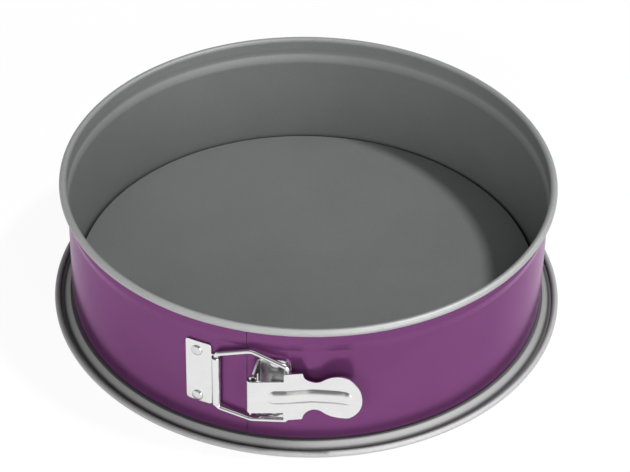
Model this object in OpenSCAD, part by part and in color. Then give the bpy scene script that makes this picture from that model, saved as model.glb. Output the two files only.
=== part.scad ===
// Springform pan: pressed base with a drip rim, sprung ring and over-centre clasp.
// Millimetres. Z is up, the base stands on Z = 0 and the seam of the ring faces -Y.

/* [Ring] */
// inside radius of the wall
ring_inner_r = 113.4; // [100:0.1:130]
// height of the whole pan
pan_height = 70; // [64:0.5:85]
// thickness of the ring sheet
ring_t = 0.6; // [0.4:0.05:0.8]
// outside diameter of the rolled rim
rim_d = 3.6; // [3:0.1:4.4]
// step outwards of the band above the bead
rim_step = 0.6; // [0.2:0.1:1]
// how far the bead stands out from the wall
bead_out = 0.9; // [0.7:0.1:1.4]
// radius of the section of the bead
bead_r = 6; // [5:0.1:7]
// depth of the middle of the bead below the top of the rim
bead_drop = 9.3; // [8.5:0.1:13]
// width of the hem turned inwards at the lower edge
hem_w = 2.15; // [1.6:0.05:2.6]
// gap between the two ends at the seam
seam_gap = 0.3; // [0.2:0.05:0.6]
// length of the inner tongue that covers the seam
tongue_l = 15; // [8:0.5:17]

/* [Base] */
// height of the floor above the table
floor_h = 11.5; // [10:0.1:13]
// thickness of the base sheet
base_t = 0.7; // [0.5:0.05:0.8]
// gap between the side of the floor and the hem of the ring
floor_gap = 0.35; // [0.3:0.05:0.6]
// height of the ledge that the ring stands on
ledge_h = 4; // [3.4:0.1:4.6]
// how far the base stands out past the wall
base_overhang = 8.85; // [8.4:0.05:12]
// radius of the ridge around the ledge
ridge_r = 2.3; // [2:0.05:2.5]
// outside diameter of the rolled outer edge
edge_d = 2.9; // [2.4:0.1:3.2]

/* [Clasp] */
// height of the middle of the clasp above the table
clasp_z = 34.2; // [33:0.1:37]
// thickness of the anchor plate and the bracket
plate_t = 0.9; // [0.7:0.05:1]
// diameter of the bail wire
wire_d = 2.3; // [2:0.1:2.5]
// running clearance of the wire and of the pivot bar
pivot_clear = 0.05; // [0.02:0.01:0.1]
// distance of the knuckle axis from the seam
knuckle_s = 13.8; // [13:0.1:15]
// distance of the lever pivot from the seam
pivot_s = 3.8; // [3.4:0.1:4.4]
// stand-off of the lever pivot from the wall
pivot_out = 6.9; // [6.5:0.1:7.6]
// distance of the wire sleeves from the seam
sleeve_s = 19; // [18.4:0.1:20]
// stand-off of the wire sleeves from the wall
sleeve_out = 4; // [3.8:0.1:4.4]

/* [Anchor plate] */
// height of the anchor plate
anchor_h = 34.9; // [33:0.1:38]
// how far the anchor plate sits above the middle of its knuckle
anchor_lift = 1; // [0:0.1:1.4]
// distance of the far edge of the anchor plate from the knuckle axis
anchor_l = 15.4; // [14.5:0.1:17]
// height of the knuckle
knuckle_h = 27.2; // [26:0.1:28]

/* [Bail] */
// height of the bail at its widest
bail_h = 40; // [38:0.5:42]
// how far the widest part of the bail sits above the middle of the clasp
bail_lift = 1.1; // [0:0.1:1.4]
// height of the bail where its arms reach the lever
bail_end_h = 30.8; // [30.6:0.2:32]
// gap between the wire ends and the sleeves
bail_end_gap = 0.35; // [0.3:0.05:0.6]

/* [Bracket] */
// height of the bracket on the wall
bracket_h = 33.6; // [32:0.2:34]
// distance of the fold of the bracket from the seam
fold_s = 6; // [5.6:0.1:6.6]
// distance of the far edge of the bracket from the seam
bracket_end_s = 20.2; // [19:0.1:22]
// diameter of the pivot bar
bar_d = 2.9; // [2.6:0.1:3.1]
// height of the window for the rolled end of the lever
window_h = 18.8; // [18.6:0.1:19.6]

/* [Lever] */
// thickness of the lever sheet
lever_t = 0.7; // [0.6:0.05:0.8]
// height of the rolled end
roll_h = 18; // [16:0.1:18.2]
// height across the ears
ear_h = 26.7; // [26:0.1:26.8]
// length of the ears
ear_l = 7.3; // [6.6:0.1:7.6]
// height of the waist
waist_h = 15.8; // [14.8:0.1:17]
// radius of the hollow of the waist
waist_r = 5.3; // [4.8:0.1:5.6]
// radius of the round thumb end
thumb_r = 11.9; // [11.5:0.1:12.4]
// distance of the middle of the thumb end from the seam
thumb_s = 43.2; // [42.8:0.1:44.4]
// reach of the blunt tip from the middle of the thumb end
tip_l = 10.1; // [9.6:0.1:11]
// radius of the blunt tip
tip_r = 13.5; // [12.6:0.1:15]
// stand-off of the waist from the wall
waist_out = 4.4; // [4:0.1:5]
// stand-off of the thumb end from the wall
thumb_out = 6.2; // [5.8:0.1:6.8]
// stand-off of the tip from the wall
tip_out = 11.5; // [10.8:0.1:12.4]
// height of the raised rib
rib_h = 7.4; // [6:0.1:7.8]
// how far the rib stands out from the lever
rib_rise = 1.3; // [0.8:0.05:1.5]

/* [Rivets] */
// diameter of the rivet heads
rivet_head_d = 5.4; // [4.8:0.1:5.8]
// height of the rivet heads
rivet_head_h = 1.2; // [0.8:0.1:1.4]
// diameter of the rivet shanks
rivet_d = 2.6; // [2:0.1:3]
// distance between the anchor rivets
anchor_pitch = 26.4; // [25:0.1:27.4]
// distance between the bracket rivets
bracket_pitch = 27; // [26:0.1:27.4]

/* [Hidden] */
$fa = 2;
$fs = 0.4;
// clearance of a rivet in its hole
rivet_clear = 0.05;
// extra radius of the bends of the wire
bend_swell = 0.01;
// how far a straight wire runs into a bend
bend_lap = 0.1;
// gap between the ring and the ledge
seat_gap = 0.02;
// gap between the two modelled halves at the back
back_gap = 0.1;
// gap between the tongue and the wall that it runs behind
tongue_gap = 0.3;
// radius well inside the ring, where its drawn section starts
core_r = 0.8 * ring_inner_r;
wall_r = ring_inner_r + ring_t;
hem_r = ring_inner_r - hem_w;
floor_r = hem_r - floor_gap;
ring_z = ledge_h + seat_gap;
bead_z = pan_height - bead_drop;
band_r = ring_inner_r + rim_step;
rim_r = rim_d / 2;
rim_c = [band_r + rim_r, pan_height - rim_r];
bead_c = [ring_inner_r + bead_out - bead_r, bead_z];
base_r = wall_r + base_overhang;
ridge_c = [wall_r + 0.4 + ridge_r, ledge_h - 0.1 - ridge_r];
ridge_in = ridge_r - base_t;
edge_r = edge_d / 2;
edge_c = [base_r - edge_r, edge_r];
dip_z = ledge_h - 2;
wire_r = wire_d / 2;
knuckle_in = wire_r + pivot_clear;
knuckle_r = knuckle_in + plate_t;
bar_r = bar_d / 2;
roll_in = bar_r + pivot_clear;
roll_r = roll_in + lever_t;
sleeve_in = wire_r + 0.1;
sleeve_r = sleeve_in + lever_t;
rivet_r = rivet_d / 2;
hole_r = rivet_r + rivet_clear;
anchor_rivet_s = -(knuckle_s + anchor_l - 5.8);
bracket_rivet_s = fold_s + 7;
knuckle_axis = on_wall(-knuckle_s, knuckle_r + 0.1);
pivot_axis = on_wall(pivot_s, pivot_out);
sleeve_axis = on_wall(sleeve_s, sleeve_out);
bail_l = norm(sleeve_axis - knuckle_axis);
bail_turn = heading(knuckle_axis, sleeve_axis);

// point at a distance from the seam along the wall and a stand-off from it
function on_wall(s, out) =
    let (r = wall_r + out, a = s / r * 180 / PI)
    [r * sin(a), -r * cos(a)];

// turn about Z that brings the seam to a distance along the wall
function wall_turn(s) = s / wall_r * 180 / PI;

// direction from one point to another
function heading(a, b) = atan2(b[1] - a[1], b[0] - a[0]);

// unit normal on the right of the line from a to b
function side(a, b) = [b[1] - a[1], a[0] - b[0]] / norm(b - a);

// normal at corner i of a path, long enough to keep the thickness
function mitre(p, i) =
    let (a = side(p[max(i - 1, 0)], p[max(i, 1)]))
    let (b = side(p[min(i, len(p) - 2)], p[min(i + 1, len(p) - 1)]))
    (a + b) / (1 + a * b);

// strip between two offsets of a path
module strip(p, low, high) {
    right = [for (i = [0 : len(p) - 1]) p[i] + high * mitre(p, i)];
    left = [for (i = [len(p) - 1 : -1 : 0]) p[i] + low * mitre(p, i)];
    polygon(concat(right, left));
}

// wedge of a circle from angle a to angle b, less than half a turn
module wedge(r, a, b) {
    mid = (a + b) / 2;
    polygon([
        [0, 0],
        r * [cos(a), sin(a)],
        1.5 * r * [cos(mid), sin(mid)],
        r * [cos(b), sin(b)]
    ]);
}

// sheet rolled into a tube, open from angle a to angle b
module rolled(outer, inner, a, b) {
    difference() {
        circle(outer);
        circle(inner);
        wedge(2 * outer, a, b);
    }
}

// rectangle with round corners
module rounded(w, h, r) {
    square([w - 2 * r, h], center = true);
    square([w, h - 2 * r], center = true);
    for (x = [-1, 1], y = [-1, 1])
        translate([x * (w / 2 - r), y * (h / 2 - r)])
            circle(r);
}

// sector of a profile turned about Z, from distance s0 to distance s1 along the wall
module around(s0, s1) {
    rotate([0, 0, wall_turn(s0) - 90])
        rotate_extrude(angle = wall_turn(s1) - wall_turn(s0))
            children();
}

// shape drawn in X and height, standing on the wall at distance s and facing outwards
module facing(s) {
    rotate([0, 0, wall_turn(s)])
        translate([0, -wall_r, clasp_z])
            rotate([90, 0, 0])
                children();
}

// section of the base sheet
module base_profile() {
    difference() {
        union() {
            square([floor_r, floor_h]);
            square([wall_r - 0.4, ledge_h]);
            square([ridge_c[0], dip_z]);
            translate([ridge_c[0] - ridge_r, 0])
                square([2 * ridge_r, ridge_c[1]]);
            translate(ridge_c)
                circle(ridge_r);
            square([edge_c[0], base_t]);
        }
        translate([0, -1])
            square([floor_r - base_t, floor_h - base_t + 1]);
        translate([0, -1])
            square([wall_r - 0.4 - base_t, ledge_h - base_t + 1]);
        translate([0, -1])
            square([ridge_c[0], dip_z - base_t + 1]);
        translate([ridge_c[0] - ridge_in, -1])
            square([2 * ridge_in, ridge_c[1] + 1]);
        translate(ridge_c)
            circle(ridge_in);
        translate([0, -5])
            square([base_r, 5]);
    }
    translate(edge_c)
        rolled(edge_r, edge_r - base_t, 200, 270);
}

module base_plate() {
    color([0.5, 0.5, 0.51])
        rotate_extrude()
            base_profile();
}

// section of the ring inside one of its faces, d is the depth of that face below the outer one
module ring_face(d) {
    polygon([
        [core_r, ring_z + d],
        [wall_r - d, ring_z + d],
        [wall_r - d, bead_z],
        [band_r + ring_t - d, bead_z],
        [band_r + ring_t - d, rim_c[1] + d],
        [core_r, rim_c[1] + d]
    ]);
    translate(bead_c)
        circle(bead_r + ring_t - d);
}

module ring_profile() {
    difference() {
        ring_face(0);
        ring_face(ring_t);
        square([hem_r, ring_z + 2 * ring_t]);
    }
    translate(rim_c)
        rolled(rim_r, rim_r - ring_t, 180, 235);
}

module anchor_holes(r) {
    for (z = [-1, 1])
        facing(anchor_rivet_s)
            translate([0, z * anchor_pitch / 2, -5])
                cylinder(r = r, h = 10);
}

module bracket_holes(r) {
    for (z = [-1, 1])
        facing(bracket_rivet_s)
            translate([0, z * bracket_pitch / 2, -5])
                cylinder(r = r, h = 10);
}

// right half of the band, with the tongue that runs behind the other end
module ring_right() {
    color([0.48, 0.27, 0.47]) {
        difference() {
            around(seam_gap / 2, wall_r * PI - back_gap / 2)
                ring_profile();
            bracket_holes(hole_r);
        }
        around(-tongue_l, 6)
            translate([ring_inner_r - tongue_gap - ring_t, floor_h + 1])
                square([ring_t, bead_z - 4.5 - floor_h]);
        around(1.5, 6)
            translate([ring_inner_r - tongue_gap - ring_t / 2, floor_h + 1])
                square([tongue_gap + ring_t, bead_z - 4.5 - floor_h]);
    }
}

// left half of the band
module ring_left() {
    color([0.48, 0.27, 0.47])
        difference() {
            around(-wall_r * PI + back_gap / 2, -seam_gap / 2)
                ring_profile();
            anchor_holes(hole_r);
        }
}

// plate on the left end, rolled into the knuckle of the bail
module anchor_plate() {
    plate_w = anchor_l - knuckle_r - 0.5;
    mid_s = -knuckle_s - anchor_l + plate_w / 2;
    color([0.78, 0.78, 0.8])
        difference() {
            union() {
                intersection() {
                    around(mid_s - 15, mid_s + 15)
                        translate([wall_r, 0])
                            square([plate_t, pan_height]);
                    facing(mid_s)
                        translate([0, 0, -5])
                            linear_extrude(10) {
                                translate([0, anchor_lift])
                                    rounded(plate_w, anchor_h, 1.5);
                                translate([0, 0.3 - knuckle_h / 2])
                                    square([anchor_l - plate_w / 2, knuckle_h - 0.6]);
                            }
                }
                translate([knuckle_axis[0], knuckle_axis[1], clasp_z - knuckle_h / 2])
                    cylinder(r = knuckle_r, h = knuckle_h);
            }
            translate([knuckle_axis[0], knuckle_axis[1], clasp_z - knuckle_h])
                cylinder(r = knuckle_in, h = 2 * knuckle_h);
            anchor_holes(hole_r);
        }
}

// domed rivet through a plate and the band, with a flat tail inside
module rivet() {
    dome_r = (rivet_head_d * rivet_head_d / 4 + rivet_head_h * rivet_head_h) / (2 * rivet_head_h);
    translate([0, 0, plate_t])
        intersection() {
            translate([0, 0, rivet_head_h - dome_r])
                sphere(dome_r);
            cylinder(r = rivet_head_d, h = 2 * rivet_head_h);
        }
    translate([0, 0, -ring_t - 0.1])
        cylinder(r = rivet_r, h = ring_t + plate_t + 0.2);
    translate([0, 0, -ring_t - 0.55])
        cylinder(r = rivet_head_d / 2 - 0.2, h = 0.5);
}

module anchor_rivets() {
    color([0.72, 0.72, 0.74])
        for (z = [-1, 1])
            facing(anchor_rivet_s)
                translate([0, z * anchor_pitch / 2, 0])
                    rivet();
}

module bracket_rivets() {
    color([0.72, 0.72, 0.74])
        for (z = [-1, 1])
            facing(bracket_rivet_s)
                translate([0, z * bracket_pitch / 2, 0])
                    rivet();
}

// straight wire from a to b
module wire(a, b) {
    translate(a)
        rotate([0, 0, heading(a, b)])
            rotate([0, 90, 0])
                cylinder(r = wire_r, h = norm(b - a));
}

// length that a bend takes off the wire on each side of its corner
function bend_cut(a, b, c, r) = r * tan((heading(a, b) - heading(b, c)) / 2);

// point at a distance from a towards b
function towards(a, b, d) = a + d * (b - a) / norm(b - a);

// bend of the wire to the right at corner b, a hair thicker so that the straight wires run into it
module bend(a, b, c, r) {
    start = towards(b, a, bend_cut(a, b, c, r));
    translate(start + r * side(a, b))
        rotate([0, 0, heading(b, c) + 90])
            rotate_extrude(angle = heading(a, b) - heading(b, c))
                translate([r, 0])
                    circle(wire_r + bend_swell);
}

// one arm of the bail, drawn along its length and up from its middle
module bail_arm(lift) {
    p = [
        [0, 0],
        [0, knuckle_h / 2 + 1.9],
        [bail_l / 2, bail_h / 2 + lift],
        [bail_l, bail_end_h / 2],
        [bail_l, ear_h / 2 + bail_end_gap]
    ];
    r = [0, 2.4, 5, 1.7, 0];
    cut = [0, for (i = [1 : 3]) bend_cut(p[i - 1], p[i], p[i + 1], r[i]) - bend_lap, 0];
    for (i = [0 : 3])
        wire(towards(p[i], p[i + 1], cut[i]), towards(p[i + 1], p[i], cut[i + 1]));
    for (i = [1 : 3])
        bend(p[i - 1], p[i], p[i + 1], r[i]);
}

// bent wire that hooks the lever to the anchor plate
module wire_bail() {
    color([0.8, 0.8, 0.82])
        translate([knuckle_axis[0], knuckle_axis[1], clasp_z])
            rotate([0, 0, bail_turn])
                rotate([90, 0, 0])
                    for (m = [0, 1])
                        mirror([0, m, 0])
                            bail_arm((1 - 2 * m) * bail_lift);
}

// riveted plate, folded outwards, with a window and the bar that the lever turns on
module lever_bracket() {
    bracket_l = bracket_end_s - fold_s;
    foot = on_wall(fold_s, plate_t / 2);
    riser_l = norm(pivot_axis - foot);
    bar_h = window_h + 3;
    arm_h = bar_h - 0.6;
    shoulder_h = bracket_h - 0.2;
    riser_top = [
        [-0.3, shoulder_h / 2],
        [0.6, shoulder_h / 2],
        [riser_l - bar_r - 0.4, arm_h / 2],
        [riser_l, arm_h / 2]
    ];
    riser_low = [for (i = [3 : -1 : 0]) [riser_top[i][0], -riser_top[i][1]]];
    color([0.78, 0.78, 0.8]) {
        difference() {
            intersection() {
                around(fold_s, bracket_end_s)
                    translate([wall_r, 0])
                        square([plate_t, pan_height]);
                facing(fold_s)
                    translate([0, 0, -8])
                        linear_extrude(16)
                            rounded(2 * bracket_l, bracket_h, 4);
            }
            bracket_holes(hole_r);
        }
        translate([foot[0], foot[1], clasp_z])
            rotate([0, 0, heading(foot, pivot_axis)])
                rotate([90, 0, 0])
                    translate([0, 0, -plate_t / 2])
                        linear_extrude(plate_t)
                            difference() {
                                polygon(concat(riser_top, riser_low));
                                translate([riser_l - 5.2, -window_h / 2])
                                    square([10, window_h]);
                            }
        translate([pivot_axis[0], pivot_axis[1], clasp_z - bar_h / 2])
            cylinder(r = bar_r, h = bar_h);
    }
}

// tin lever rolled around the pivot bar, with sleeves for the wire ends and a round thumb end
module tension_lever() {
    over_sleeve = [0, -(sleeve_r + lever_t / 2 - 0.15)];
    ear_start = sleeve_axis[0] - 0.9;
    knee = sleeve_axis + over_sleeve;
    roll_mid = roll_r - lever_t / 2;
    leave = heading(pivot_axis, knee) - acos(roll_mid / norm(knee - pivot_axis));
    path = [
        pivot_axis + roll_mid * [cos(leave), sin(leave)],
        knee,
        on_wall(thumb_s - 13, waist_out),
        on_wall(thumb_s, thumb_out),
        on_wall(thumb_s + thumb_r + 1.5, tip_out)
    ];
    thumb_x = path[3][0];
    color([0.84, 0.84, 0.85]) {
        difference() {
            union() {
                intersection() {
                    linear_extrude(pan_height)
                        strip(path, -lever_t / 2, lever_t / 2);
                    lever_outline(ear_start, thumb_x);
                }
                intersection() {
                    translate([0, 0, clasp_z - rib_h / 2])
                        linear_extrude(rib_h)
                            strip(path, 0, lever_t / 2 + rib_rise);
                    rib_reach(ear_start - 7.5, thumb_x + tip_l - 4);
                }
            }
            intersection() {
                translate([0, 0, clasp_z - rib_h / 2 + lever_t])
                    linear_extrude(rib_h - 2 * lever_t)
                        strip(path, -lever_t, rib_rise - lever_t / 2);
                rib_reach(ear_start - 7.5 + lever_t, thumb_x + tip_l - 4 - lever_t);
            }
        }
        translate([pivot_axis[0], pivot_axis[1], clasp_z - roll_h / 2])
            linear_extrude(roll_h)
                rolled(roll_r, roll_in, leave + 12, leave + 70);
        for (z = [-1, 1])
            translate([sleeve_axis[0], sleeve_axis[1], clasp_z + z * (ear_h / 2 - 2) - 2])
                linear_extrude(4)
                    rolled(sleeve_r, sleeve_in, 170, 240);
    }
}

// front view of the lever as a block that cuts its sheet, with a hollow waist beside the thumb end
module lever_outline(ear_start, thumb_x) {
    hollow_z = waist_h / 2 + waist_r;
    waist_x = thumb_x - sqrt(pow(thumb_r + waist_r, 2) - pow(hollow_z, 2));
    meet = waist_r / (thumb_r + waist_r);
    meet_x = waist_x + meet * (thumb_x - waist_x);
    meet_z = hollow_z * (1 - meet);
    translate([0, 0, clasp_z])
        rotate([90, 0, 0])
            linear_extrude(2 * wall_r) {
                translate([pivot_axis[0] - roll_r, -roll_h / 2])
                    square([ear_start + ear_l - pivot_axis[0], roll_h]);
                difference() {
                    polygon([
                        [ear_start, -ear_h / 2],
                        [ear_start + ear_l, -ear_h / 2],
                        [waist_x, -hollow_z],
                        [meet_x, -meet_z],
                        [thumb_x, -meet_z],
                        [thumb_x, meet_z],
                        [meet_x, meet_z],
                        [waist_x, hollow_z],
                        [ear_start + ear_l, ear_h / 2],
                        [ear_start, ear_h / 2]
                    ]);
                    for (z = [-1, 1])
                        translate([waist_x, z * hollow_z])
                            circle(waist_r);
                }
                translate([thumb_x, 0])
                    intersection() {
                        circle(thumb_r);
                        translate([tip_l - tip_r, 0])
                            circle(tip_r);
                    }
            }
}

// slab that ends the rib at both ends
module rib_reach(x0, x1) {
    translate([x0, -2 * wall_r, 0])
        cube([x1 - x0, 2 * wall_r, pan_height]);
}

base_plate();
ring_right();
ring_left();
anchor_plate();
anchor_rivets();
wire_bail();
lever_bracket();
bracket_rivets();
tension_lever();
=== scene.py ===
import math

import bmesh
import bpy
from mathutils import Matrix, Vector


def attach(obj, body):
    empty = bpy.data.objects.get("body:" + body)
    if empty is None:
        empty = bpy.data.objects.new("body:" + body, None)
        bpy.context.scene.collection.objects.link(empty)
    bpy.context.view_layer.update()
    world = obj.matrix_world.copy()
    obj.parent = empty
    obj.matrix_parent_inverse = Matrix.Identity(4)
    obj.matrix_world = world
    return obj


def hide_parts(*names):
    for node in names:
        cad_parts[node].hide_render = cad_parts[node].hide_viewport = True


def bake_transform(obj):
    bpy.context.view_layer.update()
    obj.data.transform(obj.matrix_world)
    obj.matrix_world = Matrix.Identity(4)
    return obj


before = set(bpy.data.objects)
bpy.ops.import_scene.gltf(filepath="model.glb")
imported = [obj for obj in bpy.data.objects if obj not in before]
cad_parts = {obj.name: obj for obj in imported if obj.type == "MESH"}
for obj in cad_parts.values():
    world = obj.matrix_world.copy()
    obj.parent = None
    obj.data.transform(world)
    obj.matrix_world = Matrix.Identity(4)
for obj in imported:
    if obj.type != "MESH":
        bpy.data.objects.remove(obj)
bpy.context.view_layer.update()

# Base plate
# One disc of steel sheet with a grey non-stick coat, pressed into a raised floor, a ledge that the
# ring stands on and a drip ridge around it. The outer edge is rolled over and stands on the table.

# The pan's sizes are in millimetres, and mm turns them into metres
mm = 0.001

wall_r = 114.0  # outside of the ring's wall
base_t = 0.7
floor_h = 11.5
floor_r = 111.35
floor_rings = (0, 18, 36, 54, 72, 90, 104)  # rings of points on the flat floor
ledge_h = 4.0
ledge_r = 112.7
trough_h = 3.5
ridge_h = 3.95
ridge_r = 115.2
ridge_foot = (ridge_r + 2.4, 2.0)
groove_r = ridge_r + 3.2
edge_r = 1.45
edge_mid = (121.4, edge_r)
edge_foot_r = 120.2
edge_start = 205  # degrees, where the rolled edge leaves the groove

shiny_from_h = 1.7  # the ridge is burnished above this
dull_rim_h = 60  # and the rim less so above this
coat_grey = ((0.121, 0.125, 0.1235), (0.150, 0.155, 0.1525))
burnished_steel = ((0.62, 0.625, 0.62), (0.68, 0.685, 0.68))
# Painted shade: near-black coat colour laid in the base's groove and low at the ring's foot, where shadow
# falls
painted_shade_grey = (0.016, 0.016, 0.016)


def rounded_line(corners, fine=9.0):
    """Points along a line of corners (x, y, radius), each corner turned a few degrees at a time."""
    points = []
    for i, (x, y, radius) in enumerate(corners):
        here = Vector((x, y))
        if radius == 0 or i in (0, len(corners) - 1):
            points.append(here)
            continue
        back = (Vector(corners[i - 1][:2]) - here).normalized()
        ahead = (Vector(corners[i + 1][:2]) - here).normalized()
        turn = math.pi - back.angle(ahead)
        centre = here + (back + ahead).normalized() * radius / math.cos(turn / 2)
        arm = here + back * radius * math.tan(turn / 2) - centre
        signed_turn = math.copysign(turn, ahead.cross(back))
        steps = max(2, math.ceil(math.degrees(turn) / fine))
        points += [centre + Matrix.Rotation(signed_turn * k / steps, 2) @ arm for k in range(steps + 1)]
    return points


def arc(centre, radius, start, end, fine=9.0):
    """Points on a circle from one angle to another, in degrees."""
    steps = max(2, math.ceil(abs(end - start) / fine))
    turns = [math.radians(start + (end - start) * k / steps) for k in range(steps + 1)]
    return [Vector(centre) + radius * Vector((math.cos(a), math.sin(a))) for a in turns]


class Socket:
    """A node's socket. Arithmetic on it adds Math nodes, and add() adds any other node to its tree."""

    def __init__(self, tree, socket=None):
        self.tree = tree
        self.socket = socket

    def add(self, kind, settings=None, sockets=None, out=None):
        node = self.tree.nodes.new(kind)
        for name, value in (settings or {}).items():
            if name == "stops":
                for element, (place, shade) in zip(node.color_ramp.elements, value):
                    element.position = place
                    element.color = (shade, shade, shade, 1)
            else:
                setattr(node, name, value)
        for name, value in (sockets or {}).items():
            if isinstance(name, int):
                target = node.inputs[name]
            else:
                target = next(s for s in node.inputs if s.enabled and s.name == name)
            for one in value if isinstance(value, list) else [value]:
                if isinstance(one, Socket):
                    self.tree.links.new(one.socket, target)
                else:
                    target.default_value = one
        shown = [s for s in node.outputs if s.enabled and out in (None, s.name)]
        return Socket(self.tree, shown[0] if shown else None)

    def maths(self, operation, *values):
        return self.add("ShaderNodeMath", {"operation": operation}, dict(enumerate(values)))

    def split(self):
        """X, Y and Z of a vector."""
        outputs = self.add("ShaderNodeSeparateXYZ", sockets={"Vector": self}).socket.node.outputs
        return [Socket(self.tree, outputs[axis]) for axis in "XYZ"]

    def __add__(self, other):
        return self.maths("ADD", self, other)

    def __sub__(self, other):
        return self.maths("SUBTRACT", self, other)

    def __rsub__(self, other):
        return self.maths("SUBTRACT", other, self)

    def __mul__(self, other):
        return self.maths("MULTIPLY", self, other)

    def __truediv__(self, other):
        return self.maths("DIVIDE", self, other)

    def __mod__(self, other):
        return self.maths("FLOORED_MODULO", self, other)

    def __lt__(self, other):
        return self.maths("LESS_THAN", self, other)

    __radd__ = __add__
    __rmul__ = __mul__


def new_finish(name):
    """An empty material, and the start of its node tree."""
    material = bpy.data.materials.new(name)
    material.use_nodes = True
    material.node_tree.nodes.clear()
    return material, Socket(material.node_tree)


def grain(start, scale, detail, stretch=(1, 1, 1)):
    """Noise on Object coordinates, stretched along the axes."""
    place = start.add("ShaderNodeTexCoord", out="Object")
    place = start.add("ShaderNodeMapping", sockets={"Vector": place, "Scale": stretch})
    return start.add("ShaderNodeTexNoise", sockets={"Vector": place, "Scale": scale, "Detail": detail})


def shade_between(start, factor, low, high):
    """Colour that goes from low to high with the factor. Each end is a colour or a node's colour."""
    low, high = (end if isinstance(end, Socket) else (*end, 1) for end in (low, high))
    return start.add("ShaderNodeMix", {"data_type": "RGBA"}, {"Factor": factor, "A": low, "B": high})


def ramp(start, value, low, high):
    """The value spread from 0 at low to 1 at high."""
    return start.add("ShaderNodeValToRGB", {"stops": [(low, 0), (high, 1)]}, {"Fac": value})


def end_finish(start, sockets, height, strength, depth):
    """Ends a material in its shader, with a bump of a depth in millimetres that follows the height."""
    bump = start.add("ShaderNodeBump", sockets={
        "Strength": strength, "Distance": depth * mm, "Height": height})
    shader = start.add("ShaderNodeBsdfPrincipled", sockets={**sockets, "Normal": bump})
    start.add("ShaderNodeOutputMaterial", sockets={"Surface": shader})


def coat_finish(name):
    """Satin non-stick coat: fine speckle, a slight mottle and a pebbled surface. It is burnished to bright
    metal outside the wall, and painted near-black as shade at the ring's foot and along both sides of the
    base's groove."""
    material, start = new_finish(name)
    speckle = grain(start, 1500, detail=3)
    mottle = grain(start, 45, detail=4)
    tone = ramp(start, speckle * 0.7 + mottle * 0.3, 0.3, 0.7)
    x, y, z = start.add("ShaderNodeTexCoord", out="Object").split()
    r = start.maths("SQRT", x * x + y * y)

    def past(value, size, spread):
        """0 up to a size and 1 when it is passed by the spread, in millimetres."""
        return ramp(start, value, size * mm, (size + spread) * mm)

    outside = past(r, wall_r - 0.1, 0.4) * past(z, shiny_from_h, 0.5)
    outside = outside * (1 - past(z, dull_rim_h, 4) * 0.6)
    bright = start.maths("MAXIMUM", past(r, groove_r, 0.6), outside)
    # Painted shade: the coat is darkened along both sides of the base's groove, where shadow falls
    groove = past(r, ridge_r + 1, 1) * (1 - bright)
    groove = groove + past(r, edge_foot_r, 0.3) - past(r, edge_foot_r + 0.4, 0.9)
    # Painted shade: the coat is darkened at the foot of the ring's inner wall and on the ledge below it,
    # where shadow falls in the gap
    foot = (past(r, ledge_r - 0.1, 0.4) - past(r, wall_r - 0.2, 0.4)) * (1 - past(z, floor_h - 0.4, 0.5))
    painted_shade = start.maths("MAXIMUM", groove * (z < floor_h * mm), foot * 0.85)
    worn = shade_between(start, bright, shade_between(start, tone, *coat_grey),
                         shade_between(start, tone, *burnished_steel))
    end_finish(start, {
        "Base Color": shade_between(start, painted_shade, worn, painted_shade_grey),
        "Metallic": 0.2 + bright * 0.65 - painted_shade * 0.2,
        "Roughness": 0.45 + mottle * 0.08 + speckle * 0.06 + bright * 0.07 + painted_shade * 0.3,
        "Specular IOR Level": 0.35}, height=speckle, strength=0.35, depth=0.03)
    return material


def new_tree(name, inputs, output):
    """The start of a new Geometry Nodes tree, and its inputs by name."""
    tree = bpy.data.node_groups.new(name, "GeometryNodeTree")
    tree.is_modifier = True
    for socket, kind in inputs.items():
        tree.interface.new_socket(socket, in_out="INPUT", socket_type="NodeSocket" + kind)
    tree.interface.new_socket(output, in_out="OUTPUT", socket_type="NodeSocketGeometry")
    start = Socket(tree)
    return start, {socket: start.add("NodeGroupInput", out=socket) for socket in inputs}


def made_real(start, geometry, material):
    """The geometry with its instances made real and a material on it."""
    geometry = start.add("GeometryNodeRealizeInstances", sockets={"Geometry": geometry})
    return start.add("GeometryNodeSetMaterial", sockets={"Geometry": geometry, "Material": material})


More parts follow.
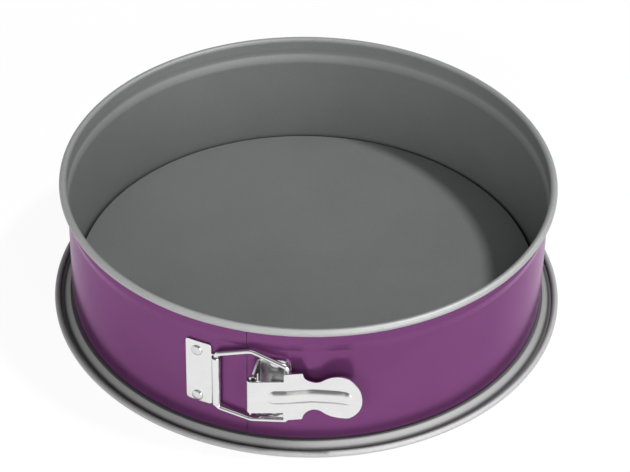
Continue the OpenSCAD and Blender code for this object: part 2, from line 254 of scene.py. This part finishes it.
def turned_sheet():
    """Tree that turns an outline of points (r, trim, z) about Z, with caps where it isn't a full turn.
    The trim is how much shorter the sheet is at its start."""
    start, given = new_tree("turned_sheet", {
        "Outline": "Geometry", "Start Angle": "Float", "End Angle": "Float", "Steps": "Int",
        "Outline Points": "Int", "Painted Points": "Int", "Capped": "Bool", "Coat": "Material",
        "Paint": "Material"}, "Sheet")
    index = start.add("GeometryNodeInputIndex")
    count = given["Outline Points"]

    def placed(columns, rows, along, share):
        """Grid whose points sit on the outline, turned by a share of the sheet's angle."""
        grid = start.add("GeometryNodeMeshGrid", sockets={"Vertices X": columns, "Vertices Y": rows})
        r, trim, z = start.add("GeometryNodeSampleIndex", {"data_type": "FLOAT_VECTOR"}, {
            "Geometry": given["Outline"], "Value": start.add("GeometryNodeInputPosition"),
            "Index": along}).split()
        turn = given["End Angle"] - given["Start Angle"]
        trim = trim / start.maths("MAXIMUM", r, mm) * start.maths("SIGN", turn)
        angle = given["Start Angle"] + trim + (turn - trim) * share
        return start.add("GeometryNodeSetPosition", sockets={
            "Geometry": grid, "Position": start.add("ShaderNodeCombineXYZ", sockets={
                "X": r * start.maths("COSINE", angle), "Y": r * start.maths("SINE", angle), "Z": z})})

    column = start.maths("FLOOR", index / (count + 1))
    sides = placed(given["Steps"] + 1, count + 1, index % (count + 1) % count, column / given["Steps"])
    sides = start.add("GeometryNodeStoreNamedAttribute", {"data_type": "BOOLEAN", "domain": "FACE"}, {
        "Geometry": sides, "Name": "painted", "Value": index % count < given["Painted Points"] - 1})
    half = count / 2
    row = index % half
    across = row + start.maths("FLOOR", index / half) * (count - 1 - row * 2)
    caps = start.add("GeometryNodeJoinGeometry", sockets={
        "Geometry": [placed(2, half, across, end) for end in (0.0, 1.0)]})
    caps = start.add("GeometryNodeSwitch", {"input_type": "GEOMETRY"}, {
        "Switch": given["Capped"], "True": caps})
    whole = start.add("GeometryNodeJoinGeometry", sockets={"Geometry": [sides, caps]})
    whole = start.add("GeometryNodeMergeByDistance", sockets={"Geometry": whole, "Distance": 0.001 * mm})
    whole = made_real(start, whole, given["Coat"])
    painted = start.add("GeometryNodeInputNamedAttribute", {"data_type": "BOOLEAN"}, {"Name": "painted"})
    whole = start.add("GeometryNodeSetMaterial", sockets={
        "Geometry": whole, "Material": given["Paint"], "Selection": painted})
    start.add("NodeGroupOutput", sockets={"Sheet": whole})
    return start.tree


def new_object(name, content):
    """An object at the origin, in the scene."""
    made = bpy.data.objects.new(name, content)
    bpy.context.scene.collection.objects.link(made)
    return made


def settled(piece):
    """The piece with its modifiers made into a plain closed mesh, smooth but for its sharp edges."""
    evaluated = piece.evaluated_get(bpy.context.evaluated_depsgraph_get())
    mesh = bpy.data.meshes.new_from_object(evaluated)
    piece.modifiers.clear()
    piece.data = mesh
    mesh.name = piece.name
    same_place = 0.0005 * mm
    work = bmesh.new()
    work.from_mesh(mesh)
    bmesh.ops.remove_doubles(work, verts=work.verts, dist=same_place)
    bmesh.ops.dissolve_degenerate(work, edges=work.edges, dist=same_place)
    bmesh.ops.recalc_face_normals(work, faces=work.faces)
    work.to_mesh(mesh)
    work.free()
    mesh.shade_smooth()
    mesh.set_sharp_from_angle(angle=math.radians(42))
    return piece


def grown(name, mesh, tree, **sizes):
    """Object whose mesh is what the tree makes of it, as a plain mesh with no modifier left."""
    piece = new_object(name, mesh)
    growth = piece.modifiers.new(tree.name, "NODES")
    growth.node_group = tree
    for item in tree.interface.items_tree:
        key = item.name.lower().replace(" ", "_")
        if item.in_out == "INPUT" and key in sizes:
            growth[item.identifier] = sizes[key]
    return settled(piece)


def outline_mesh(name, points, trim=lambda p: 0.0):
    """Points (r, z) in millimetres as the vertices of a mesh, at (r, trim, z)."""
    mesh = bpy.data.meshes.new(name)
    mesh.from_pydata([(p.x * mm, trim(p) * mm, p.y * mm) for p in points], [], [])
    return mesh


base_outline = rounded_line([
    *((r, floor_h, 0) for r in floor_rings), (floor_r, floor_h, 0.35), (floor_r, ledge_h, 0.3),
    (ledge_r, ledge_h, 0.2), (ledge_r + 0.3, trough_h, 0.2), (ridge_r - 0.7, trough_h, 0.3),
    (ridge_r, ridge_h, 0.5), (*ridge_foot, 1.2), (groove_r, base_t, 0.4), (edge_foot_r, base_t, 0)])
base_outline += arc(edge_mid, edge_r, edge_start, -90)
base_outline += rounded_line([
    (edge_mid[0] - 0.1, 0, 0), (groove_r - 0.4, 0, 0.2), (ridge_foot[0] - 0.5, ridge_foot[1] - 0.5, 0.5),
    (ridge_r - 0.05, ridge_h - 0.9, 0.2), (ridge_r - 0.5, trough_h - base_t, 0.2),
    (ledge_r, trough_h - base_t, 0.2), (ledge_r - 0.3, ledge_h - base_t, 0.2),
    (floor_r - base_t, ledge_h - base_t, 0.4), (floor_r - base_t, floor_h - base_t, 0.5),
    *((r, floor_h - base_t, 0) for r in reversed(floor_rings))])
# The turned sheet pairs its points, so their number is even
base_outline += [base_outline[-1]] * (len(base_outline) % 2)

coat = coat_finish("non_stick_coat")
turned = turned_sheet()
base = grown("base_plate_sheet", outline_mesh("base_outline", base_outline), turned,
             start_angle=0.0, end_angle=math.tau, steps=360, outline_points=len(base_outline),
             painted_points=0, capped=False, coat=coat, paint=coat)
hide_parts("base_plate")
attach(base, "base")

# Ring
# One strip of thin steel, purple lacquer outside and grey non-stick coat inside, rolled round to a
# seam at the front. A shallow bead stiffens it, the rim is rolled outwards and the lower edge is
# turned in. It is drawn as two halves that meet at the back, where the real ring bends open when the clasp
# lets go.

ring_t = 0.6
ring_mid = wall_r - ring_t / 2
foot_h = 4.32
foot_end_r = 111.5
wall_rows = (8, 24, 40)  # rows of points on the straight wall
bead_start_h = 56.2
bead_h = 60.8
bead_out = 1.05
neck_h = 64.3
rim_start_h = 66.0
rim_r = 1.5
rim_mid = (wall_r + 1.8, 68.2)
neck_r = rim_mid[0] - rim_r
rim_curl = -122  # degrees, where the rolled rim ends
seam_gap = 0.15
rim_gap = 0.02
seam = math.radians(-90)
behind = math.radians(90)
tongue_r = 112.8
tongue_rows = (5.2, 25, 45, 66)
tongue_left = 15  # reach to each side of the seam
tongue_right = 6
purple = ((0.138, 0.040, 0.130), (0.151, 0.044, 0.143))


def both_faces(line, thickness):
    """Closed outline of a sheet around a line: its right face, then its left face back again."""
    faces = ([], [])
    for i, p in enumerate(line):
        along = (line[min(i + 1, len(line) - 1)] - line[max(i - 1, 0)]).normalized()
        right = Vector((along.y, -along.x)) * thickness / 2
        faces[0].append(p + right)
        faces[1].append(p - right)
    return faces[0] + faces[1][::-1]


def lacquer_finish(name):
    """Gloss lacquer through which some of the steel shines: deep colour and a faint orange peel."""
    material, start = new_finish(name)
    peel = grain(start, 420, detail=2)
    cloud = grain(start, 22, detail=3)
    end_finish(start, {
        "Base Color": shade_between(start, ramp(start, cloud, 0.3, 0.7), *purple),
        "Metallic": 0.6,
        "Roughness": 0.17 + peel * 0.07 + cloud * 0.06,
        "Specular IOR Level": 0.35,
        "Specular Tint": (0.8, 0.5, 0.8, 1)}, height=peel, strength=0.12, depth=0.02)
    return material


def seam_trim(p):
    """Half the gap at the seam, which nearly closes at the rolled rim."""
    return seam_gap if p.y < rim_start_h - 0.5 else rim_gap


ring_line = rounded_line([
    (foot_end_r, foot_h, 0), (ring_mid, foot_h, 0.7), *((ring_mid, z, 0) for z in wall_rows),
    (ring_mid, bead_start_h, 6), (ring_mid + bead_out, bead_h, 3.5), (neck_r, neck_h, 5),
    (neck_r, rim_start_h, 0)], fine=3)
ring_line += arc(rim_mid, rim_r, 180, rim_curl, fine=7)
ring_outline = both_faces(ring_line, ring_t)
lacquer = lacquer_finish("purple_lacquer")
ring_halves = {}
for side, last in (("right", behind), ("left", behind - math.tau)):
    ring_halves[side] = grown(
        "ring_band_" + side, outline_mesh("ring_outline_" + side, ring_outline, seam_trim), turned,
        start_angle=seam, end_angle=last, steps=300, outline_points=len(ring_outline),
        painted_points=len(ring_line), capped=True, coat=coat, paint=lacquer)

tongue_outline = both_faces([Vector((tongue_r, z)) for z in tongue_rows], ring_t)
tongue = grown("ring_tongue", outline_mesh("tongue_outline", tongue_outline), turned,
               start_angle=seam - tongue_left / wall_r, end_angle=seam + tongue_right / wall_r, steps=24,
               outline_points=len(tongue_outline), painted_points=len(tongue_rows), capped=True,
               coat=coat, paint=coat)

for side, other in (("right", "left"), ("left", "right")):
    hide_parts("ring_" + side)
    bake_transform(ring_halves[side])
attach(tongue, "ring_right")

# Anchor plate
# Pressed tinplate on the left end of the ring, held by two rivets. Its free edge is rolled into the
# knuckle that the wire bail turns in.

clasp_z = 34.2
plate_t = 0.9
sheet_t = 0.7
sheared_r = 0.16  # rounding of cut edges
row_step = 0.4  # between the rows of a pressed sheet
point_step = 0.5
anchor_l = 15.4
anchor_w = 12.8  # flat part beside the knuckle
anchor_half = 17.45
anchor_lift = 1.0  # how much higher the flat part sits than the knuckle
anchor_corner = 1.5
near_corner = (0.1, 0.3, 0.7)  # rows close to a rounded corner
knuckle_s = 13.8  # along the wall from the seam
knuckle_out = 2.2  # from the wall
knuckle_mid = 1.75  # radius to the middle of the rolled sheet
knuckle_half = 13.6
knuckle_start = 2  # degrees, and so is each turn
knuckle_turn = 8.2
knuckle_turns = 37
anchor_points = 30
tin_tone = (0.775, 0.78, 0.775)
tin_lines = (60, 60, 2600)


def on_wall(s, out):
    """Point at a distance from the seam along the wall and a stand-off from it, in plan."""
    r = wall_r + out
    return Vector((r * math.sin(s / r), -r * math.cos(s / r)))


def walked(points, step, cuts=()):
    """(distance, point) at even steps along a line of points, with the cut distances among them."""
    lengths = [0.0]
    for a, b in zip(points, points[1:]):
        lengths.append(lengths[-1] + (b - a).length)
    count = math.ceil(lengths[-1] / step)
    marks = [lengths[-1] * i / count for i in range(count + 1)]
    marks = [m for m in marks if all(abs(m - c) > step / 3 for c in cuts)]
    stations = []
    k = 0
    for mark in sorted(marks + list(cuts)):
        while k < len(points) - 2 and lengths[k + 1] < mark:
            k += 1
        share = (mark - lengths[k]) / (lengths[k + 1] - lengths[k])
        stations.append((mark, points[k].lerp(points[k + 1], share)))
    return stations


def add_sheet(work, stations, inner, outer, keep, rows, middle=clasp_z, lift=0.0, dent=None):
    """Adds a bent sheet: at each station its rows reach the inner half height, then the outer one, which
    sits higher by the lift. keep says which faces stay, from their distance along the sheet and how far
    they are beyond the inner rows, and dent how far a point is pressed to the left."""
    shares = [(k / rows[0], 0) for k in range(rows[0] + 1)]
    shares += [(1, k / rows[1]) for k in range(1, rows[1] + 1)]
    shares = [(-a, -b) for a, b in shares[:0:-1]] + shares
    grid = []
    for i, (d, p) in enumerate(stations):
        along = (stations[min(i + 1, len(stations) - 1)][1] - stations[max(i - 1, 0)][1]).normalized()
        left = Vector((-along.y, along.x))
        column = []
        for a, b in shares:
            z = a * inner(d) + b * (outer(d) - inner(d)) + abs(b) * lift
            q = p + left * (dent(p, z) if dent else 0)
            column.append(work.verts.new((q.x * mm, q.y * mm, (middle + z) * mm)))
        grid.append(column)
    for i, (one, two) in enumerate(zip(grid, grid[1:])):
        d = (stations[i][0] + stations[i + 1][0]) / 2
        for j in range(len(shares) - 1):
            if keep(d, abs(shares[j][1] + shares[j + 1][1]) / 2):
                work.faces.new((one[j], two[j], two[j + 1], one[j + 1]))


def pressed(name, work, thickness, material):
    """Object made of the sheets in work, given their thickness and softly rounded sheared edges."""
    bmesh.ops.remove_doubles(work, verts=work.verts, dist=0.001 * mm)
    bmesh.ops.delete(work, geom=[v for v in work.verts if not v.link_faces], context="VERTS")
    mesh = bpy.data.meshes.new(name)
    work.to_mesh(mesh)
    work.free()
    piece = new_object(name, mesh)
    wall = piece.modifiers.new("thickness", "SOLIDIFY")
    wall.thickness = thickness * mm
    wall.offset = 0
    wall.use_even_offset = True
    rounding = piece.modifiers.new("sheared_edge", "BEVEL")
    rounding.width = sheared_r * mm
    rounding.segments = 2
    rounding.limit_method = "ANGLE"
    rounding.angle_limit = math.radians(50)
    settled(piece)
    piece.data.materials.append(material)
    return piece


def tin_finish(name, tone, stretch, smooth, rough):
    """Bright tinplate: fine rolling lines along the strip, faint smudges and soft dull patches."""
    material, start = new_finish(name)
    lines = grain(start, 1.0, detail=3, stretch=stretch)
    smudge = grain(start, 130, detail=3)
    wear = ramp(start, lines * 0.5 + smudge * 0.5, 0.3, 0.7)
    end_finish(start, {
        "Base Color": shade_between(start, wear, [0.93 * c for c in tone], tone),
        "Metallic": 1.0,
        "Roughness": smooth + (rough - smooth) * (lines * 0.4 + smudge * 0.6)},
        height=lines, strength=0.15, depth=0.01)
    return material


def corner_drop(d, radius):
    """How much lower a rounded corner is at a distance from the edge."""
    return radius - math.sqrt(max(0, radius ** 2 - max(0, radius - d) ** 2))


tin = tin_finish("tinplate", tin_tone, tin_lines, smooth=0.14, rough=0.26)
knuckle_axis = on_wall(s=-knuckle_s, out=knuckle_out)
outwards = knuckle_axis.normalized()
sideways = Vector((outwards.y, -outwards.x))
anchor_line = [on_wall(s=-knuckle_s - anchor_l + k * point_step, out=plate_t - sheet_t / 2)
               for k in range(anchor_points)]
for k in range(knuckle_turns):
    turn = math.radians(knuckle_start + k * knuckle_turn)
    anchor_line.append(knuckle_axis - knuckle_mid * (math.cos(turn) * outwards + math.sin(turn) * sideways))
anchor_cuts = [*near_corner, *(anchor_w - c for c in near_corner), anchor_w]

anchor_sheet = bmesh.new()
add_sheet(anchor_sheet, walked(anchor_line, row_step, anchor_cuts), rows=(14, 4), lift=anchor_lift,
          inner=lambda d: knuckle_half,
          outer=lambda d: anchor_half - corner_drop(min(d, max(0, anchor_w - d)), anchor_corner),
          keep=lambda d, beyond: beyond == 0 or d < anchor_w)
anchor = pressed("anchor_plate_tin", anchor_sheet, sheet_t, tin)
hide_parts("anchor_plate")
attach(anchor, "ring_left")

# Rivets
# Four steel rivets with low domed heads, two through each clasp plate and the ring. Their tails are
# set flat against the inside of the ring.

rivet_head_r = 2.7
rivet_head_h = 1.15
rivet_tail_r = 2.5
rivet_tail_h = 0.35
rivet_tail_gap = 0.2
anchor_rivet_s = -23.4
anchor_rivet_pitch = 26.4
bracket_rivet_s = 13.0
bracket_rivet_pitch = 27.0
rivet_tone = (0.70, 0.70, 0.71)


def riveted():
    """Tree that sets two rivets one above the other, facing outwards from the wall."""
    start, given = new_tree("rivet_pair", {
        "Geometry": "Geometry", "Head Radius": "Float", "Head Height": "Float", "Tail Radius": "Float",
        "Tail Height": "Float", "Tail Depth": "Float", "Lower Rivet": "Vector", "Pitch": "Float",
        "Facing": "Float", "Steel": "Material"}, "Rivets")

    def dome(radius, height, depth, cut):
        """Flattened ball at a depth, cut off at a share of its height below its middle."""
        x, y, z = start.add("GeometryNodeInputPosition").split()
        crown = start.maths("SIGN", z) * start.maths("POWER", start.maths("ABSOLUTE", z), 0.8)
        crown = start.maths("MAXIMUM", crown, -cut)
        return start.add("GeometryNodeSetPosition", sockets={
            "Geometry": start.add("GeometryNodeMeshUVSphere", sockets={
                "Segments": 40, "Rings": 20, "Radius": 1.0}),
            "Position": start.add("ShaderNodeCombineXYZ", sockets={
                "X": x * radius, "Y": y * radius, "Z": crown * height - depth})})

    rivet = start.add("GeometryNodeJoinGeometry", sockets={"Geometry": [
        dome(given["Head Radius"], given["Head Height"], 0.0, cut=0.2),
        dome(given["Tail Radius"], given["Tail Height"], given["Tail Depth"], cut=1.0)]})
    places = start.add("GeometryNodeMeshLine", sockets={
        "Count": 2, "Start Location": given["Lower Rivet"],
        "Offset": start.add("ShaderNodeCombineXYZ", sockets={"Z": given["Pitch"]})})
    pair = start.add("GeometryNodeInstanceOnPoints", sockets={
        "Points": places, "Instance": rivet, "Rotation": start.add("ShaderNodeCombineXYZ", sockets={
            "X": math.pi / 2, "Z": given["Facing"]})})
    start.add("NodeGroupOutput", sockets={"Rivets": made_real(start, pair, given["Steel"])})
    return start.tree


steel = tin_finish("rivet_steel", rivet_tone, (900, 900, 900), smooth=0.16, rough=0.30)
rivet_pair = riveted()
for name, node, body, s, pitch in (
        ("anchor_rivet_pair", "anchor_rivets", "ring_left", anchor_rivet_s, anchor_rivet_pitch),
        ("bracket_rivet_pair", "bracket_rivets", "ring_right", bracket_rivet_s, bracket_rivet_pitch)):
    seat = on_wall(s=s / wall_r * (wall_r + plate_t), out=plate_t)
    rivets = grown(name, bpy.data.meshes.new(name), rivet_pair,
                   head_radius=rivet_head_r * mm, head_height=rivet_head_h * mm,
                   tail_radius=rivet_tail_r * mm, tail_height=rivet_tail_h * mm,
                   tail_depth=(plate_t + ring_t + rivet_tail_gap) * mm,
                   lower_rivet=(seat.x * mm, seat.y * mm, (clasp_z - pitch / 2) * mm),
                   pitch=pitch * mm, facing=s / wall_r, steel=steel)
    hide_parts(node)
    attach(rivets, body)

# Wire bail
# One bright steel wire, bent to a hexagon. Its long leg turns in the knuckle of the anchor plate and
# its two ends are hooked into the sleeves of the lever.

wire_r = 1.15
wire_tone = (0.78, 0.78, 0.785)
sleeve_axis = on_wall(s=19, out=4.0)
ear_half = 13.35  # half height of the lever's ears
wire_end = ear_half - 3.4
hook_h = 15.4
hook_bend = 1.7
shoulder_low = -18.9
shoulder_high = 21.1
shoulder_bend = 5.0
leg_half = knuckle_half + 1.9
leg_bend = 2.4


def bent_wire():
    """Tree that rounds the corners of a line by their own bend radius and draws a wire along it."""
    start, given = new_tree("bent_wire", {
        "Line": "Geometry", "Wire Radius": "Float", "Bend Steps": "Int", "Wire Sides": "Int",
        "Steel": "Material"}, "Wire")
    line = start.add("GeometryNodeMeshToCurve", sockets={"Mesh": given["Line"]})
    line = start.add("GeometryNodeFilletCurve", {"mode": "POLY"}, {
        "Curve": line, "Count": given["Bend Steps"],
        "Radius": start.add("GeometryNodeInputNamedAttribute", {"data_type": "FLOAT"}, {"Name": "bend"})})
    wire = start.add("GeometryNodeCurveToMesh", sockets={
        "Curve": line, "Fill Caps": True, "Profile Curve": start.add(
            "GeometryNodeCurvePrimitiveCircle", sockets={
                "Resolution": given["Wire Sides"], "Radius": given["Wire Radius"]})})
    start.add("NodeGroupOutput", sockets={"Wire": made_real(start, wire, given["Steel"])})
    return start.tree


wire_steel = tin_finish("bright_wire", wire_tone, (500, 500, 500), smooth=0.10, rough=0.20)
reach = sleeve_axis - knuckle_axis
bail_corners = [
    (1.0, -wire_end, 0.0), (1.0, -hook_h, hook_bend), (0.5, shoulder_low, shoulder_bend),
    (0.0, -leg_half, leg_bend), (0.0, 0.0, 0.0), (0.0, leg_half, leg_bend),
    (0.5, shoulder_high, shoulder_bend), (1.0, hook_h, hook_bend), (1.0, wire_end, 0.0)]
bail_line = bpy.data.meshes.new("bail_line")
bail_line.from_pydata(
    [((knuckle_axis.x + a * reach.x) * mm, (knuckle_axis.y + a * reach.y) * mm, (clasp_z + z) * mm)
     for a, z, r in bail_corners], [(i, i + 1) for i in range(len(bail_corners) - 1)], [])
bail_line.attributes.new("bend", "FLOAT", "POINT").data.foreach_set(
    "value", [r * mm for a, z, r in bail_corners])
bail = grown("wire_bail_bent", bail_line, bent_wire(), wire_radius=wire_r * mm, bend_steps=10,
             wire_sides=28, steel=wire_steel)
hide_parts("wire_bail")
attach(bail, "bail")

# Lever bracket
# Tinplate on the right end of the ring, held by two rivets. It is folded outwards beside the seam,
# and a window in the folded part leaves the bar that the lever turns on.

pivot_axis = on_wall(s=3.8, out=6.9)
strip_half = 1.2  # half width of the bar
bar_half = 10.9
arm_half = 10.6
bracket_half = 16.8
bracket_corner = 4.0
bracket_end_s = 20.2
bracket_points = 28
fold = on_wall(s=6, out=plate_t / 2)
fold_r = 0.9
window_half = 9.4
window_l = 5.2

riser = pivot_axis - fold
riser_end = pivot_axis + riser.normalized() * strip_half
bracket_line = [on_wall(s=bracket_end_s - point_step * k, out=plate_t / 2) for k in range(bracket_points)]
bracket_line = rounded_line([(p.x, p.y, 0) for p in bracket_line]
                            + [(fold.x, fold.y, fold_r), (riser_end.x, riser_end.y, 0)])
bracket_l = walked(bracket_line, row_step)[-1][0]
pivot_d = bracket_l - strip_half
riser_start = pivot_d - riser.length
window_start = pivot_d - window_l
window_end = pivot_d - strip_half


def bracket_top(d):
    """Half height of the bracket: round corners on the wall, shoulders that slope down to the bar."""
    if d < riser_start:
        return bracket_half - corner_drop(d, bracket_corner)
    if d > window_end:
        return bar_half
    share = (d - riser_start) / (window_end - riser_start)
    return bracket_half - (bracket_half - arm_half) * share ** 1.5


bracket_cuts = [0.15, 0.5, 1, window_start, window_end, window_end + 0.1]
bracket_sheet = bmesh.new()
add_sheet(bracket_sheet, walked(bracket_line, row_step, bracket_cuts), rows=(12, 8),
          inner=lambda d: window_half, outer=bracket_top,
          keep=lambda d, beyond: d < window_start or d > window_end or beyond > 0)
bracket = pressed("lever_bracket_tin", bracket_sheet, plate_t, tin)
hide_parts("lever_bracket")
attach(bracket, "ring_right")

# Tension lever
# Tinplate stamped to ears, a waist and a round thumb end, with a raised rib for stiffness. One end
# is rolled around the bracket's bar, and the ears are curled into sleeves for the wire ends.

lever_t = 0.7
lever_step = 0.35
roll_half = 9.0
roll_mid = 1.85
roll_start = -2  # degrees
sleeve_mid = 1.6
sleeve_half = 2.0
sleeve_curl = (-118, 166)  # degrees, from and to
ear_start = sleeve_axis.x - 0.9
ear_corner = 0.6
hollow_corner = 0.5
thumb_s = 43.2
thumb_mid = on_wall(s=thumb_s, out=6.2)
thumb_r = 11.9
tip_l = 10.1
tip_r = 13.5
tip_end = thumb_mid.x + tip_l
tip = on_wall(s=thumb_s + thumb_r + 1.5, out=11.5)
waist_r = 5.3
waist_half = 7.9
waist = on_wall(s=30.2, out=4.4)
hollow_z = waist_half + waist_r
waist_x = thumb_mid.x - math.sqrt((thumb_r + waist_r) ** 2 - hollow_z ** 2)
meet_x = waist_x + (thumb_mid.x - waist_x) * waist_r / (thumb_r + waist_r)
knee = sleeve_axis + Vector((0, -2.15))
rib_half = 3.9
rib_rise = 1.6
rib_first = ear_start - 7.5
rib_last = tip_end - 4.0

to_knee = knee - pivot_axis
roll_end = 360 + math.degrees(math.atan2(to_knee.y, to_knee.x) - math.acos(roll_mid / to_knee.length))
lever_line = arc(pivot_axis, roll_mid, roll_start, roll_end, fine=8)
lever_line += rounded_line([
    (*lever_line[-1], 0), (*knee, 12), (*waist, 22), (*thumb_mid, 25), (*tip, 0)], fine=3)[1:]


def distance_at(line, x):
    """Distance along a line to where its last stretch reaches x."""
    total, found = 0.0, 0.0
    for a, b in zip(line, line[1:]):
        step = (b - a).length
        if a.x <= x < b.x:
            found = total + step * (x - a.x) / (b.x - a.x)
        total += step
    return found


ear_d = distance_at(lever_line, ear_start)
hollow_d = distance_at(lever_line, waist_x - waist_r)
tip_d = distance_at(lever_line, tip_end - 0.02)
lever_cuts = [*(ear_d + c for c in (0, 0.15, 0.5)),
              *(hollow_d + c for c in (-0.5, -0.2, 0, 0.05, 0.2, 0.45, 0.8)),
              *(tip_d - c for c in (0.9, 0.6, 0.3, 0.1, 0))]
lever_stations = [(d, p) for d, p in walked(lever_line, lever_step, lever_cuts) if d <= tip_d]
lever_at = dict(lever_stations)


def lever_top(d):
    """Half height of the lever's outline in front view."""
    x = lever_at[d].x
    if d <= hollow_d:
        drop = corner_drop(max(0, d - ear_d), ear_corner) + corner_drop(hollow_d - d, hollow_corner)
        return ear_half - drop
    if x < meet_x:
        return hollow_z - math.sqrt(max(0, waist_r ** 2 - (x - waist_x) ** 2))
    thumb = thumb_r ** 2 - (x - thumb_mid.x) ** 2
    blunt_tip = tip_r ** 2 - (x - tip_end + tip_r) ** 2
    return math.sqrt(max(0.02, min(thumb, blunt_tip)))


def lever_neck(d):
    """Half height of the rows that run on into the rolled end."""
    return roll_half * min(1, lever_top(d) / ear_half) if d > ear_d + 0.5 else roll_half


def rib(p, z):
    """Rise of the raised rib, round in section and at both ends."""
    if p.y < pivot_axis.y - 5 or p.x < rib_first:
        return 0
    across = math.hypot(p.x - min(max(p.x, rib_first + rib_half), rib_last - rib_half), z) / rib_half
    return -rib_rise * max(0, 1 - across ** 2)


lever_sheet = bmesh.new()
add_sheet(lever_sheet, lever_stations, rows=(30, 6), inner=lever_neck, outer=lever_top, dent=rib,
          keep=lambda d, beyond: beyond == 0 or d > ear_d)
for end in (-1, 1):
    add_sheet(lever_sheet, walked(arc(sleeve_axis, sleeve_mid, *sleeve_curl, fine=8), row_step), rows=(2, 2),
              inner=lambda d: sleeve_half / 2, outer=lambda d: sleeve_half,
              keep=lambda d, beyond: True, middle=clasp_z + end * (ear_half - sleeve_half))
lever = pressed("tension_lever_tin", lever_sheet, lever_t, tin)
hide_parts("tension_lever")
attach(lever, "lever")

# Studio
# A plain pale floor with a faint shadow, in a room that mirrors pale low down and dark elsewhere. A small
# high lamp on the right, a broad soft box at the front right, a wide dim lamp above and a fill lamp at
# the front light the pan. The camera stands where the photograph was taken.

floor_half = 4  # the studio is measured in metres
floor_drop = 0.0003
view_from = Vector((0.2032, -0.8760, 0.7310))
view_to = Vector((-0.00551, 0.04034, 0.0))
camera_tilt = 1.17  # degrees
image_width = 630
focal_pixels = 2361
white = (1, 1, 1, 1)
floor_grey = (0.8, 0.8, 0.8, 1)
floor_seen_white = 0.93
floor_mirrored_white = 0.7
room_glow = 0.15
room_white = 1 - room_glow
lamps_aim = Vector((0, 0, 0.03))


def ray(start, kind):
    """1 for rays of a kind, else 0."""
    return start.add("ShaderNodeLightPath", out="Is %s Ray" % kind)


floor_mesh = bpy.data.meshes.new("floor")
floor_mesh.from_pydata([(x * floor_half, y * floor_half, -floor_drop)
                        for x, y in ((-1, -1), (1, -1), (1, 1), (-1, 1))], [], [(0, 1, 2, 3)])
floor = new_object("floor", floor_mesh)
floor_paper, start = new_finish("floor_paper")
start.add("ShaderNodeOutputMaterial", sockets={"Surface": start.add("ShaderNodeMixShader", sockets={
    0: ray(start, "Camera") * floor_seen_white + ray(start, "Glossy") * floor_mirrored_white,
    1: start.add("ShaderNodeBsdfDiffuse", sockets={"Color": floor_grey}),
    2: start.add("ShaderNodeEmission", sockets={"Color": white, "Strength": 1.0})})})
floor_mesh.materials.append(floor_paper)

world = bpy.data.worlds.new("studio")
world.use_nodes = True
world.node_tree.nodes.clear()
start = Socket(world.node_tree)
heading = start.add("ShaderNodeTexCoord", out="Generated")
_, rearwards, upwards = heading.split()
near_camera = start.add("ShaderNodeVectorMath", {"operation": "DOT_PRODUCT"}, {
    0: heading, 1: (view_from - view_to).normalized()}, out="Value")
dark = start.maths("MAXIMUM", ramp(start, upwards, 0.1, 0.6), ramp(start, near_camera, 0.78, 0.93))
dark = start.maths("MAXIMUM", dark, ramp(start, rearwards, 0.1, 0.6) * 0.85)
start.add("ShaderNodeOutputWorld", sockets={"Surface": start.add("ShaderNodeBackground", sockets={
    "Color": white, "Strength": room_glow + ray(start, "Camera") * room_white
    + ray(start, "Glossy") * (room_white - dark * 0.8)})})
bpy.context.scene.world = world


def lamp(name, towards, distance, size, power):
    """Round soft lamp in a direction from the pan, turned to face it."""
    light = bpy.data.lights.new(name, "AREA")
    light.shape = "DISK"
    light.size = size
    light.energy = power
    held = new_object(name, light)
    towards = Vector(towards).normalized()
    held.location = lamps_aim + towards * distance
    held.rotation_euler = towards.to_track_quat("Z", "Y").to_euler()
    return held


lamp("key", towards=(0.4455, 0.0682, 0.8926), distance=2.0, size=0.22, power=35)
lamp("soft_box", towards=(0.707, -0.637, 0.309), distance=1.7, size=1.0, power=14)
lamp("top_light", towards=(0.0, -0.1, 0.995), distance=2.0, size=2.0, power=6)
fill = lamp("fill", towards=(-0.1, -0.925, 0.36), distance=2.0, size=1.0, power=27)
fill.visible_glossy = False

camera = bpy.data.cameras.new("camera")
camera.sensor_fit = "HORIZONTAL"
camera.sensor_width = 36
camera.lens = camera.sensor_width * focal_pixels / image_width
camera_held = new_object("camera", camera)
camera_held.matrix_world = (Matrix.Translation(view_from)
                            @ (view_from - view_to).to_track_quat("Z", "Y").to_matrix().to_4x4()
                            @ Matrix.Rotation(math.radians(camera_tilt), 4, "Z"))
bpy.context.scene.camera = camera_held
bpy.context.scene.view_settings.view_transform = "Standard"
